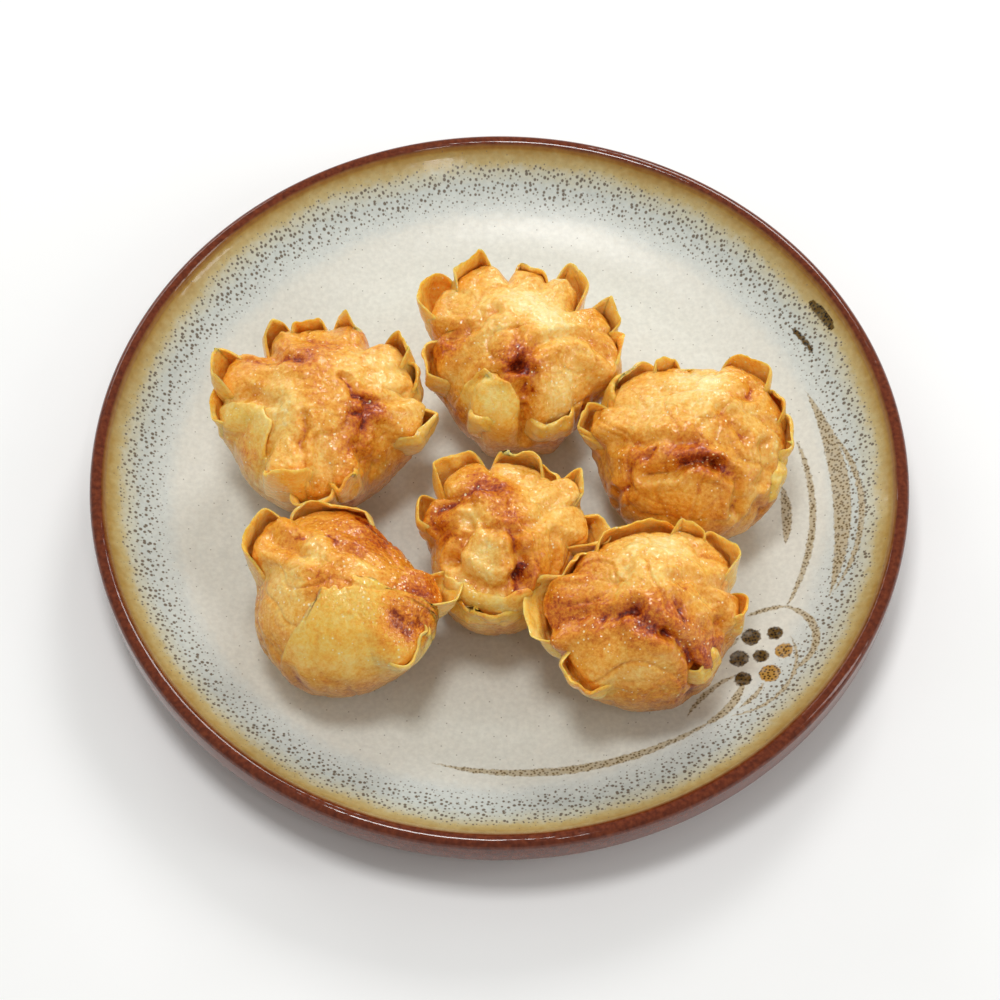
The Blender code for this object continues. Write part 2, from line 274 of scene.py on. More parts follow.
def fired_glaze():
    """Glazes fired on stoneware with little air: glassy, broken into iron specks at the rim, with
    a melt line where the brown glaze starts."""
    material = bpy.data.materials.new("reduction_fired_glaze_on_stoneware")
    material.use_nodes = True
    tree = material.node_tree
    shader = tree.nodes["Principled BSDF"]
    place = add_node(tree, "ShaderNodeTexCoord").outputs["Object"]
    in_mm = add_node(
        tree, "ShaderNodeVectorMath", {"operation": "SCALE", "Scale": 1000.0}, {0: place}
    ).outputs[0]
    flat = add_node(
        tree, "ShaderNodeVectorMath", {"operation": "MULTIPLY", 1: (1.0, 1.0, 0.0)}, {0: in_mm}
    ).outputs[0]
    radius = add_node(
        tree, "ShaderNodeVectorMath", {"operation": "LENGTH"}, {0: flat}
    ).outputs["Value"]

    # the glazes run into each other unevenly: waves about 14 mm long, and finer 2 mm ones
    waves = add_node(
        tree, "ShaderNodeTexNoise", {"Scale": 0.07, "Detail": 1.0}, {"Vector": in_mm}
    ).outputs[0]
    ripples = add_node(
        tree, "ShaderNodeTexNoise", {"Scale": 0.55, "Detail": 2.0}, {"Vector": in_mm}
    ).outputs[0]
    swing = add_node(
        tree, "ShaderNodeMath", {"operation": "MULTIPLY_ADD", 1: 2.4, 2: -1.2}, {0: waves}
    ).outputs[0]
    shiver = add_node(
        tree, "ShaderNodeMath", {"operation": "MULTIPLY_ADD", 1: 2.6, 2: -1.3}, {0: ripples}
    ).outputs[0]
    run = add_node(tree, "ShaderNodeMath", {"operation": "ADD"}, {0: swing, 1: shiver}).outputs[0]
    ragged = add_node(tree, "ShaderNodeMath", {"operation": "ADD"}, {0: radius, 1: run}).outputs[0]

    # cream, then blue-grey and ochre, by distance from the middle: 60 to 95 mm is 0 to 1
    zone = add_node(
        tree, "ShaderNodeMapRange", {"From Min": 60.0, "From Max": 95.0}, {"Value": ragged}
    ).outputs[0]
    glaze = add_node(tree, "ShaderNodeValToRGB", links={0: zone})
    set_stops(
        glaze,
        (
            (0.0, "dedfd5"), (0.44, "dedfd6"), (0.53, "d3d9d5"), (0.68, "c6cdc8"),
            (0.77, "c6c4ae"), (0.825, "bdaa76"), (0.885, "ac8c4e"), (1.0, "805a20"),
        ),
    )
    mottle = add_node(
        tree, "ShaderNodeTexNoise", {"Scale": 0.9, "Detail": 2.0}, {"Vector": in_mm}
    ).outputs[0]
    shade = add_node(
        tree, "ShaderNodeMapRange",
        {"From Min": 0.3, "From Max": 0.7, "To Min": 0.93, "To Max": 1.05}, {"Value": mottle},
    ).outputs[0]
    mottled = add_node(
        tree, "ShaderNodeVectorMath", {"operation": "SCALE"},
        {0: glaze.outputs[0], "Scale": shade},
    ).outputs[0]

    # iron specks: about one each 1.1 mm below the ochre, and one each 6 mm on the cream
    crowd = add_node(
        tree, "ShaderNodeTexVoronoi",
        {"voronoi_dimensions": "2D", "Scale": 0.88, "Randomness": 1.0}, {"Vector": flat},
    )
    crowd_size = add_node(
        tree, "ShaderNodeSeparateColor", links={0: crowd.outputs["Color"]}
    ).outputs[0]
    crowd_reach = add_node(
        tree, "ShaderNodeMath", {"operation": "MULTIPLY_ADD", 1: 0.26, 2: 0.18}, {0: crowd_size}
    ).outputs[0]
    rising = add_node(
        tree, "ShaderNodeMapRange",
        {"From Min": 74.5, "From Max": 83.0, "interpolation_type": "SMOOTHSTEP"},
        {"Value": ragged},
    ).outputs[0]
    falling = add_node(
        tree, "ShaderNodeMapRange",
        {"From Min": 91.0, "From Max": 86.5, "interpolation_type": "SMOOTHSTEP"},
        {"Value": ragged},
    ).outputs[0]
    band = add_node(
        tree, "ShaderNodeMath", {"operation": "MULTIPLY"}, {0: rising, 1: falling}
    ).outputs[0]
    crowd_limit = add_node(
        tree, "ShaderNodeMath", {"operation": "MULTIPLY"}, {0: crowd_reach, 1: band}
    ).outputs[0]
    crowd_in = add_node(
        tree, "ShaderNodeMath", {"operation": "SUBTRACT"},
        {0: crowd_limit, 1: crowd.outputs["Distance"]},
    ).outputs[0]
    crowd_specks = add_node(
        tree, "ShaderNodeMath", {"operation": "MULTIPLY", 1: 6.0, "use_clamp": True},
        {0: crowd_in},
    ).outputs[0]
    lone = add_node(
        tree, "ShaderNodeTexVoronoi", {"voronoi_dimensions": "2D", "Scale": 0.17}, {"Vector": flat}
    )
    lone_in = add_node(
        tree, "ShaderNodeMath", {"operation": "SUBTRACT", 0: 0.035}, {1: lone.outputs["Distance"]}
    ).outputs[0]
    lone_specks = add_node(
        tree, "ShaderNodeMath", {"operation": "MULTIPLY", 1: 30.0, "use_clamp": True},
        {0: lone_in},
    ).outputs[0]
    specks = add_node(
        tree, "ShaderNodeMath", {"operation": "MAXIMUM"}, {0: crowd_specks, 1: lone_specks}
    ).outputs[0]
    speckled = add_node(
        tree, "ShaderNodeMix", {"data_type": "RGBA", 7: linear("70675a")},
        {0: specks, 6: mottled},
    ).outputs[2]

    # brushwork in iron oxide, which the glaze breaks into grains 0.8 mm apart
    group = stroke_group()
    bent = add_node(
        tree, "ShaderNodeTexNoise", {"Scale": 1.1, "Detail": 1.0}, {"Vector": flat}
    )
    pushed = add_node(
        tree, "ShaderNodeVectorMath",
        {"operation": "MULTIPLY_ADD", 1: (0.9, 0.9, 0.0), 2: (-0.45, -0.45, 0.0)},
        {0: bent.outputs["Color"]},
    ).outputs[0]
    brushed_at = add_node(
        tree, "ShaderNodeVectorMath", {"operation": "ADD"}, {0: flat, 1: pushed}
    ).outputs[0]
    olive = painted(tree, group, brushed_at, stroke_values(OLIVE_STROKES))
    dark = painted(
        tree, group, brushed_at, stroke_values(DARK_STROKES) + dot_values(DARK_DOTS)
    )
    ochre = painted(tree, group, brushed_at, dot_values(OCHRE_DOTS))
    grain = add_node(
        tree, "ShaderNodeTexVoronoi", {"voronoi_dimensions": "2D", "Scale": 1.25}, {"Vector": flat}
    )
    grains = add_node(
        tree, "ShaderNodeMapRange", {"From Min": 0.42, "From Max": 0.22},
        {"Value": grain.outputs["Distance"]},
    ).outputs[0]
    worn = add_node(
        tree, "ShaderNodeMapRange",
        {"From Min": 0.25, "From Max": 0.55, "To Min": 0.78, "To Max": 1.0}, {"Value": ripples},
    ).outputs[0]
    surface = speckled
    top_side = add_node(
        tree, "ShaderNodeMath", {"operation": "LESS_THAN", 1: 90.0}, {0: radius}
    ).outputs[0]
    for paint, thin, thick in (
        (olive, "bcb094", "746240"),
        (ochre, "b58b42", "4f3312"),
        (dark, "5c4414", "120a02"),
    ):
        colour = add_node(
            tree, "ShaderNodeMix", {"data_type": "RGBA", 6: linear(thin), 7: linear(thick)},
            {0: grains},
        ).outputs[2]
        laid = add_node(
            tree, "ShaderNodeMath", {"operation": "MULTIPLY"}, {0: paint, 1: worn}
        ).outputs[0]
        laid_inside = add_node(
            tree, "ShaderNodeMath", {"operation": "MULTIPLY"}, {0: laid, 1: top_side}
        ).outputs[0]
        surface = add_node(
            tree, "ShaderNodeMix", {"data_type": "RGBA"},
            {0: laid_inside, 6: surface, 7: colour},
        ).outputs[2]

    # the brown glaze over the lip, with a thin orange line where it has melted into the ochre
    height = add_node(tree, "ShaderNodeSeparateXYZ", links={0: in_mm}).outputs[2]
    inner_edge = add_node(
        tree, "ShaderNodeMath", {"operation": "MULTIPLY_ADD", 1: 0.12}, {0: run, 2: radius}
    ).outputs[0]
    over_lip = add_node(
        tree, "ShaderNodeMapRange", {"From Min": 91.0, "From Max": 92.2}, {"Value": inner_edge}
    ).outputs[0]
    below = add_node(
        tree, "ShaderNodeMapRange", {"From Min": 7.6, "From Max": 7.2}, {"Value": height}
    ).outputs[0]
    outside = add_node(
        tree, "ShaderNodeVectorMath", {"operation": "DOT_PRODUCT", 1: (0.0, 0.0, -1.0)},
        {0: add_node(tree, "ShaderNodeNewGeometry").outputs["Normal"]},
    ).outputs["Value"]
    facing_down = add_node(
        tree, "ShaderNodeMath", {"operation": "GREATER_THAN", 1: 0.0}, {0: outside}
    ).outputs[0]
    under = add_node(
        tree, "ShaderNodeMath", {"operation": "MAXIMUM"}, {0: below, 1: facing_down}
    ).outputs[0]
    brown_share = add_node(
        tree, "ShaderNodeMath", {"operation": "MAXIMUM"}, {0: over_lip, 1: under}
    ).outputs[0]
    browns = add_node(tree, "ShaderNodeValToRGB", links={0: mottle})
    set_stops(browns, ((0.30, "54200c"), (0.52, "682c14"), (0.72, "78381c")))
    melted = add_node(tree, "ShaderNodeValToRGB", links={0: over_lip})
    set_stops(melted, ((0.0, "9c6a26"), (0.35, "8f4a1a"), (0.8, "6e3018"), (1.0, "682c14")))
    melt_tint = add_node(
        tree, "ShaderNodeMapRange", {"From Min": 0.55, "From Max": 1.0}, {"Value": brown_share}
    ).outputs[0]
    brown = add_node(
        tree, "ShaderNodeMix", {"data_type": "RGBA"},
        {0: melt_tint, 6: melted.outputs[0], 7: browns.outputs[0]},
    ).outputs[2]
    glazed = add_node(
        tree, "ShaderNodeMix", {"data_type": "RGBA"}, {0: brown_share, 6: surface, 7: brown}
    ).outputs[2]
    bare = add_node(
        tree, "ShaderNodeMapRange", {"From Min": 0.5, "From Max": 0.3}, {"Value": height}
    ).outputs[0]
    clay = add_node(
        tree, "ShaderNodeMix", {"data_type": "RGBA", 7: linear("b39a7c")}, {0: bare, 6: glazed}
    ).outputs[2]
    tree.links.new(clay, shader.inputs["Base Color"])

    # glass-smooth, with the faint unevenness of a brushed glaze; the bare foot is dull
    satin = add_node(
        tree, "ShaderNodeMapRange",
        {"From Min": 84.0, "From Max": 92.0, "To Min": 0.30, "To Max": 0.09}, {"Value": radius},
    ).outputs[0]
    rough = add_node(
        tree, "ShaderNodeMath", {"operation": "MULTIPLY_ADD", 1: 0.6}, {0: bare, 2: satin}
    ).outputs[0]
    tree.links.new(rough, shader.inputs["Roughness"])
    orange_peel = add_node(
        tree, "ShaderNodeTexNoise", {"Scale": 0.22, "Detail": 1.0}, {"Vector": in_mm}
    ).outputs[0]
    bump = add_node(
        tree, "ShaderNodeBump", {"Strength": 0.35, "Distance": 0.0003}, {"Height": orange_peel}
    ).outputs[0]
    tree.links.new(bump, shader.inputs["Normal"])
    shader.inputs["IOR"].default_value = 1.52
    shader.inputs["Specular IOR Level"].default_value = 0.36
    return material


def turned_plate():
    """The plate's section, turned round on the wheel."""
    outline = plate_outline()
    mesh = bpy.data.meshes.new("glazed_side_plate")
    corners = [(radius * MM, 0.0, height * MM) for radius, height in outline]
    mesh.from_pydata(corners, [(at, at + 1) for at in range(len(outline) - 1)], [])
    made = bpy.data.objects.new("glazed_side_plate", mesh)
    bpy.context.scene.collection.objects.link(made)
    wheel = made.modifiers.new("turned_on_the_wheel", "SCREW")
    wheel.axis = "Z"
    wheel.steps = PLATE_STEPS
    wheel.render_steps = PLATE_STEPS
    wheel.use_merge_vertices = True
    wheel.merge_threshold = 0.00002
    wheel.use_smooth_shade = True
    return made


plate = turned_plate()
plate.data.materials.append(fired_glaze())
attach(plate, "root")
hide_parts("plate")

# ---- How the six dumplings are folded ----
# Each is a ball of filling in one round sheet of wheat dough, 0.8 mm thick, gathered round it
# and closed over the top. The loose edge is pinched into frills before the dumpling is fried.

# A frill is a fold of the sheet's edge that stands off the ball. Its middle and half width are
# in degrees round the ball, it reaches out and up in mm, and point is 1 for a pointed tip.
Frill = namedtuple("Frill", "at half out up point", defaults=(0.0,))

# A flap is a stretch of the edge that lies on the ball, up to the latitude given in degrees.
# Its sides rise along a share of its half width: 1 is a round flap, and less is a square one.
Flap = namedtuple("Flap", "at half latitude side", defaults=(1.0,))

# A crease is where folded dough meets, along points given as degrees round and up the ball. It
# is so many mm wide and deep. Browning is 0 on pale dough and 1 on burnt dough.
Crease = namedtuple("Crease", "path width depth browning")

# A patch is browned more, or less, than the dough round it, out to a reach in mm. The wide patches
# low on the front of the first, third and sixth dumplings are painted shade.
Patch = namedtuple("Patch", "at latitude reach browning")

Dumpling = namedtuple(
    "Dumpling", "x y radius height oval oval_at pleat frills flaps creases patches"
)

DUMPLINGS = (
    Dumpling(
        -41.0, 7.5, 20.0, 36.0, 0.03, 35.0, 0.5,
        (
            Frill(18, 11, 3.5, 4.0, 0.2), Frill(37, 12, 4.5, 7.0, 0.3),
            Frill(72, 12, 3.5, 7.5, 0.9), Frill(95, 12, 1.5, 5.5),
            Frill(118, 11, 3.5, 8.0, 0.9), Frill(158, 16, 6.5, 6.0), Frill(181, 14, 5.0, 0.5),
            Frill(251, 15, 4.2, 8.5, 0.2), Frill(272, 14, 5.0, 2.5),
            Frill(291, 10, 5.2, 6.5, 0.3), Frill(350, 14, 7.5, 1.5),
        ),
        (Flap(205, 34, 50, 0.7),),
        (
            Crease(((20, 72), (352, 66), (344, 58), (346, 50)), 1.0, 1.0, 0.62),
            Crease(((343, 56), (333, 55), (322, 61)), 0.9, 0.7, 0.55),
            Crease(((336, 52), (318, 47), (311, 41)), 1.1, 0.5, 0.34),
            Crease(((250, 66), (256, 60), (252, 50), (262, 38), (270, 24)), 0.9, 0.9, 0.24),
            Crease(((150, 30), (143, 42), (128, 58), (118, 66)), 1.5, 0.9, 0.42),
            Crease(((200, 64), (190, 52), (176, 42)), 1.2, 0.9, 0.05),
            Crease(((352, 50), (0, 38), (8, 26)), 1.0, 0.8, 0.08),
            Crease(((300, 40), (305, 28), (312, 14)), 1.4, 0.8, 0.12),
        ),
        (
            Patch(125, 62, 5.5, 0.20), Patch(90, 58, 5.0, 0.12), Patch(322, 52, 6.0, 0.20),
            # the patch at 300 degrees, low on the front, is painted shade
            Patch(300, 12, 9.0, 0.10), Patch(40, 60, 6.0, -0.20), Patch(5, 48, 6.0, -0.10),
            Patch(215, 55, 6.0, -0.12), Patch(280, 60, 5.0, -0.04),
        ),
    ),
    Dumpling(
        5.0, 22.5, 19.0, 37.0, 0.02, 100.0, 1.5,
        (
            Frill(20, 12, 5.0, 6.0), Frill(58, 13, 4.5, 10.0, 0.9), Frill(84, 12, 2.8, 8.0, 0.3),
            Frill(122, 17, 5.5, 8.0, 0.1), Frill(152, 15, 6.5, 6.0), Frill(187, 15, 4.0, 1.5, 0.2),
            Frill(250, 15, 2.6, 2.0), Frill(292, 15, 2.0, 0.5), Frill(352, 17, 5.5, 3.0, 0.3),
        ),
        (Flap(244, 30, 50, 0.5),),
        (
            Crease(((262, 61), (246, 54), (230, 46), (222, 36)), 1.0, 0.9, 0.26),
            Crease(((262, 62), (270, 60), (282, 57)), 1.6, 1.0, 0.52),
            Crease(((280, 58), (284, 48), (276, 40)), 1.0, 0.8, 0.32),
            Crease(((200, 86), (262, 76), (264, 62)), 1.5, 0.6, 0.22),
            Crease(((268, 62), (310, 72), (350, 62), (0, 50), (350, 30)), 1.2, 1.4, 0.08),
            Crease(((272, 48), (271, 30), (271, 5)), 1.6, 1.6, 0.16),
            Crease(((180, 40), (170, 56), (140, 66)), 1.3, 1.2, 0.16),
            Crease(((320, 12), (316, -2), (318, -14)), 1.0, 0.8, 0.35),
        ),
        (
            Patch(265, 68, 3.5, 0.10), Patch(310, 42, 9.0, -0.20), Patch(60, 66, 8.0, -0.24),
            Patch(210, 58, 6.0, -0.12), Patch(185, 30, 5.0, 0.22), Patch(275, 60, 2.5, 0.15),
        ),
    ),
    Dumpling(
        44.0, -1.0, 19.8, 34.5, 0.03, 0.0, 0.5,
        (
            Frill(5, 16, 2.0, 1.5), Frill(26, 13, 2.5, 4.5), Frill(50, 17, 3.5, 6.0, 0.1),
            Frill(84, 15, 1.0, 4.0), Frill(108, 11, 2.0, 6.0, 0.3), Frill(135, 22, 4.0, 4.5),
            Frill(168, 10, 6.0, 3.5), Frill(338, 14, 1.5, -1.5),
        ),
        (),
        (
            Crease(((226, 40), (237, 47), (252, 56), (272, 61), (290, 56)), 1.2, 2.0, 0.16),
            Crease(((250, 59), (262, 63), (278, 62), (294, 57)), 0.8, 0.5, 0.80),
            Crease(((292, 56), (304, 46), (309, 38), (302, 26), (298, 14)), 1.1, 1.4, 0.34),
            Crease(((216, 57), (216, 50)), 0.9, 0.7, 0.45),
            Crease(((212, 34), (220, 26), (214, 14)), 1.1, 0.8, 0.28),
            Crease(((316, 10), (319, -2), (312, -12)), 1.2, 0.9, 0.50),
            Crease(((212, 8), (214, -6), (216, -18)), 1.3, 1.1, 0.36),
            Crease(((30, 74), (10, 66), (352, 64), (344, 56)), 1.2, 0.8, 0.24),
            Crease(((40, 56), (34, 44), (40, 36)), 1.2, 1.0, 0.30),
            Crease(((186, 32), (196, 52), (220, 68), (262, 73)), 1.4, 1.0, 0.05),
            Crease(((130, 54), (90, 60), (50, 56)), 1.4, 0.9, 0.05),
            Crease(((350, 40), (335, 30), (325, 24)), 1.3, 1.1, 0.12),
        ),
        (
            Patch(240, 66, 5.0, 0.10), Patch(272, 68, 5.0, 0.10), Patch(215, 40, 7.0, 0.14),
            Patch(80, 52, 8.0, -0.24), Patch(330, 45, 5.0, 0.02), Patch(270, 34, 9.0, -0.02),
            # the patch at 285 degrees, low on the front, is painted shade
            Patch(5, 70, 4.0, 0.14), Patch(150, 60, 6.0, -0.10), Patch(285, 5, 9.0, 0.12),
        ),
    ),
    Dumpling(
        -35.7, -39.8, 18.7, 35.5, 0.03, 112.0, 0.4,
        (
            Frill(2, 12, 7.0, 2.5, 0.4), Frill(96, 32, 2.0, 4.5), Frill(143, 20, 5.0, 6.5),
            Frill(322, 18, 5.0, 1.0, 0.2), Frill(345, 12, 5.0, 0.5, 0.2),
        ),
        (Flap(290, 62, 76, 0.22),),
        (
            Crease(((195, 76), (201, 73)), 1.3, 0.5, 0.62),
            Crease(((100, 58), (95, 62), (92, 68)), 1.1, 0.7, 0.55),
            Crease(((134, 50), (126, 56)), 1.2, 0.6, 0.34),
            Crease(((76, 28), (64, 31), (54, 30)), 1.6, 0.5, 0.50),
            Crease(((52, 26), (40, 25)), 1.3, 0.4, 0.42),
            Crease(((14, 26), (8, 22), (2, 26)), 1.6, 0.7, 0.20),
            Crease(((326, 42), (321, 34), (330, 28)), 2.2, 1.0, 0.38),
            Crease(((150, 78), (146, 58), (143, 36)), 1.6, 1.4, 0.05),
            Crease(((120, 72), (60, 70), (20, 62)), 1.3, 0.8, 0.10),
            Crease(((240, 8), (248, -8)), 1.5, 0.8, 0.20),
            Crease(((205, 4), (214, -8), (226, -16)), 1.6, 0.6, 0.28),
        ),
        (
            Patch(40, 46, 10.0, 0.15), Patch(80, 40, 9.0, 0.16), Patch(325, 38, 6.0, 0.22),
            Patch(355, 30, 6.0, 0.16), Patch(110, 64, 5.0, -0.16), Patch(150, 72, 4.0, -0.20),
            Patch(200, 40, 9.0, -0.02), Patch(18, 66, 3.5, -0.20), Patch(90, 70, 4.0, 0.12),
        ),
    ),
    Dumpling(
        1.0, -26.0, 16.2, 34.0, 0.06, 59.0, 0.5,
        (
            Frill(12, 14, 5.8, 1.5, 0.2), Frill(38, 11, 6.5, 6.5, 0.6),
            Frill(56, 11, 2.5, 5.0, 0.3),
            Frill(80, 21, 3.0, 7.5), Frill(124, 20, 5.5, 7.0, 0.1), Frill(160, 13, 5.5, 3.5, 0.5),
            Frill(252, 32, 1.4, 0.0),
        ),
        (Flap(256, 52, 34, 0.5),),
        (
            Crease(((172, 28), (160, 36), (150, 44), (134, 52)), 1.3, 0.9, 0.50),
            Crease(((108, 60), (102, 64)), 1.5, 0.6, 0.60),
            Crease(((122, 50), (112, 54)), 1.3, 0.5, 0.42),
            Crease(((306, 80), (296, 72), (292, 66)), 1.0, 0.8, 0.36),
            Crease(((292, 56), (290, 48), (284, 42), (282, 36)), 1.8, 1.2, 0.50),
            Crease(((178, 60), (192, 62), (206, 52), (214, 38)), 1.3, 1.4, 0.14),
            Crease(((214, 36), (238, 40), (262, 40), (284, 42)), 1.4, 1.4, 0.16),
            Crease(((292, 66), (286, 54), (288, 44)), 1.4, 1.2, 0.16),
            Crease(((150, 60), (190, 72), (240, 80), (300, 76)), 1.3, 0.8, 0.10),
            Crease(((40, 34), (20, 52), (350, 66), (310, 74)), 1.3, 0.9, 0.06),
            Crease(((350, 48), (330, 34), (318, 24)), 1.3, 0.8, 0.14),
        ),
        (
            Patch(235, 56, 5.5, -0.20), Patch(115, 56, 5.5, 0.16), Patch(290, 44, 3.5, 0.16),
            Patch(330, 55, 8.0, 0.06), Patch(20, 40, 6.0, -0.04), Patch(190, 40, 4.5, 0.16),
            Patch(170, 62, 3.5, -0.18), Patch(305, 26, 5.0, 0.12),
        ),
    ),
    Dumpling(
        33.2, -43.8, 18.0, 35.5, 0.06, 59.0, 0.5,
        (
            Frill(40, 18, 4.0, 4.5, 0.1), Frill(61, 13, 2.5, 6.0, 0.2), Frill(100, 34, 1.5, 3.5),
            Frill(150, 16, 3.5, 4.0), Frill(184, 25, 10.5, 2.0), Frill(222, 18, 6.0, 0.0),
            Frill(318, 14, 2.0, 0.0), Frill(357, 11, 3.5, 3.0, 0.1),
        ),
        (),
        (
            Crease(((208, 50), (215, 56), (222, 66), (232, 71)), 1.2, 1.0, 0.42),
            Crease(((232, 71), (252, 66), (268, 61), (284, 56)), 1.6, 1.3, 0.50),
            Crease(((284, 56), (294, 50), (300, 38), (303, 22), (302, 8)), 1.3, 1.3, 0.34),
            Crease(((303, 14), (301, 4), (300, -8), (302, -16)), 1.9, 1.3, 0.80),
            Crease(((322, 69), (319, 64)), 1.3, 0.7, 0.70),
            Crease(((318, 63), (312, 56)), 0.9, 0.5, 0.40),
            Crease(((18, 68), (6, 64)), 1.6, 0.5, 0.32),
            Crease(((30, 76), (20, 58), (352, 42), (340, 28)), 1.4, 1.2, 0.10),
            Crease(((100, 62), (60, 66), (30, 60)), 1.4, 1.0, 0.04),
            Crease(((330, 40), (326, 22), (318, 8)), 1.4, 0.9, 0.28),
            Crease(((196, 40), (190, 24), (196, 8)), 1.8, 1.2, 0.36),
            Crease(((170, 60), (150, 66), (120, 60)), 1.3, 0.8, 0.12),
        ),
        (
            Patch(255, 60, 4.5, 0.14), Patch(185, 50, 8.0, 0.08), Patch(318, 30, 6.0, 0.16),
            Patch(80, 48, 8.0, -0.26), Patch(250, 34, 8.0, -0.05), Patch(0, 50, 5.0, -0.12),
            # the patch at 270 degrees, low on the front, is painted shade
            Patch(190, 16, 6.0, 0.16), Patch(150, 62, 5.0, -0.06), Patch(270, 6, 8.0, 0.12),
        ),
    ),
)
GAP = 0.35                   # between the plate and the sheet, and the sheet and the ball, in mm
WRAPPER_THICKNESS = 0.8
FACET_ROOM = 0.65            # more room under the ball, for the facets of its bottom
BASE_FLATTENING = 1.6        # cut off the ball's bottom where it stands
LUMP_HEIGHT = 0.7            # how far the filling's two or three lumps push the ball out
EDGE_LATITUDE = 22.0         # where the sheet's edge lies between its frills, in degrees
FREE_LATITUDE = -38.0        # below this the sheet clings to the ball
OUT_POWER = 1.9              # how late the sheet leaves the ball outwards: more is later
UP_POWER = 2.4               # and upwards
ALL_OF_IT = 1.4              # a frill's whole width against the width at half its height
COLLAR_FROM = 30.0           # a frill with a wider half than this is a collar behind the others
SHOULDER = 0.66              # how far the body follows its frills outwards, as a share
RISE = 0.52                  # and how far it follows them up


def bell(offset):
    """1 in the middle of a fold, falling smoothly to 0 at offset -1 and 1."""
    return np.where(np.abs(offset) < 1.0, np.cos(0.5 * pi * offset) ** 2, 0.0)


def smooth_step(value):
    share = np.clip(value, 0.0, 1.0)
    return share * share * (3.0 - 2.0 * share)


def degrees_between(angle, middle):
    """How far angle lies past middle, from -180 to 180 degrees."""
    return (angle - middle + 180.0) % 360.0 - 180.0


def ball_surface(dumpling, angle, latitude, grown):
    """Places of the ball grown by some mm, from its middle, for arrays of degrees."""
    around = np.radians(angle)
    over = np.radians(latitude)
    turned = radians(dumpling.oval_at)
    humps = np.sin(3.0 * around + turned) * np.cos(over) ** 2
    humps = humps + np.sin(2.0 * around - 2.0 * turned) * np.sin(2.0 * over)
    more = grown + LUMP_HEIGHT * humps * (0.5 + 0.5 * np.sin(over))
    width = 1.0 + dumpling.oval * np.cos(2.0 * (around - turned))
    reach = (dumpling.radius * width + more) * np.cos(over)
    lowest = -(0.5 * dumpling.height - BASE_FLATTENING + grown)
    height = np.maximum((0.5 * dumpling.height + more) * np.sin(over), lowest)
    return np.stack([reach * np.cos(around), reach * np.sin(around), height], axis=-1)


# Fried dough is uneven at every size: soft_noise gives its hills, and cells its blisters.
TILE = 32                    # cells before the noise comes again
dice = np.random.default_rng(23)
HILLS = dice.uniform(-1.0, 1.0, (TILE, TILE, TILE))
BLISTERS = dice.uniform(0.0, 1.0, (TILE, TILE, TILE, 4))


def soft_noise(places, size):
    """Smooth noise from -1 to 1 at places in mm, with a hill or a hollow each size mm."""
    scaled = places / size
    corner = np.floor(scaled).astype(int)
    share = smooth_step(scaled - corner)
    total = np.zeros(places.shape[:-1])
    for step in np.ndindex(2, 2, 2):
        weight = np.prod(np.where(step, share, 1.0 - share), axis=-1)
        x, y, z = np.moveaxis((corner + step) % TILE, -1, 0)
        total += weight * HILLS[x, y, z]
    return total


def cells(places, size):
    """Distance to the nearest blister's middle, in sizes, and that blister's own draw."""
    scaled = places / size
    corner = np.floor(scaled).astype(int)
    nearest = np.full(places.shape[:-1], 9.0)
    draw = np.zeros(places.shape[:-1])
    for step in np.ndindex(3, 3, 3):
        cell = corner + step - 1
        x, y, z = np.moveaxis(cell % TILE, -1, 0)
        found = BLISTERS[x, y, z]
        away = np.linalg.norm(scaled - cell - found[..., :3], axis=-1)
        closer = away < nearest
        nearest = np.where(closer, away, nearest)
        draw = np.where(closer, found[..., 3], draw)
    return nearest, draw


def blisters(places, size, share):
    """Height from 0 to 1 of round blisters size mm apart, on a share of their cells."""
    away, draw = cells(places, size)
    round_top = np.clip(1.0 - (away / 0.50) ** 2, 0.0, 1.0)
    return round_top * np.clip((share - draw) * 4.0, 0.0, 1.0)


def distance_to_path(places, corners):
    """Distance in mm from each place to a line through the corners."""
    nearest = np.full(places.shape[:-1], 1e3)
    for start, end in zip(corners[:-1], corners[1:]):
        run = end - start
        share = np.clip((places - start) @ run / (run @ run), 0.0, 1.0)
        away = np.linalg.norm(places - start - share[..., None] * run, axis=-1)
        nearest = np.minimum(nearest, away)
    return nearest


def frill_shape(frill, offset):
    """How much of its reach and of its height a frill has at an offset of -1 to 1 half widths."""
    inside = np.clip(1.0 - np.abs(offset), 0.0, 1.0)
    square = smooth_step(inside / 0.42)
    tall = (1.0 - frill.point) * square + frill.point * inside**1.1
    return smooth_step(inside / 0.55), tall


def body_surface(dumpling, angle, latitude, grown):
    """Places of the whole body: the ball, drawn out a little into the foot of every frill."""
    even = ball_surface(dumpling, angle, latitude, grown)
    free = np.clip((latitude - FREE_LATITUDE) / (EDGE_LATITUDE - FREE_LATITUDE), 0.0, 1.0)
    above = smooth_step((56.0 - latitude) / 34.0)
    out, up = np.zeros_like(even[..., 0]), np.zeros_like(even[..., 0])
    for frill in dumpling.frills:
        offset = degrees_between(angle, frill.at) / (ALL_OF_IT * frill.half)
        reach, tall = frill_shape(frill, offset)
        out = np.maximum(out, frill.out * reach)
        up = np.maximum(up, frill.up * tall)
    around = np.radians(angle)
    drawn = SHOULDER * out * free**OUT_POWER * above
    even[..., 0] += drawn * np.cos(around)
    even[..., 1] += drawn * np.sin(around)
    even[..., 2] += RISE * up * free**UP_POWER * above
    return even


def middle_of(dumpling):
    """The middle of the ball on the plate, in mm, with the sheet under it."""
    under = GAP + WRAPPER_THICKNESS + GAP + FACET_ROOM
    height = FLOOR_HEIGHT + under + 0.5 * dumpling.height - BASE_FLATTENING
    return np.array([dumpling.x, dumpling.y, height])


# In hot oil the dough puffs up into cushions, with valleys between them and finer wrinkles on
# them, so many mm apart. The crust turns browner from 0 to BURNT, and is PLAIN where it is even.
PUFFS_APART, VALLEYS_APART, WRINKLES_APART = 9.0, 8.0, 4.2
PLAIN, BURNT = 0.40, 0.95


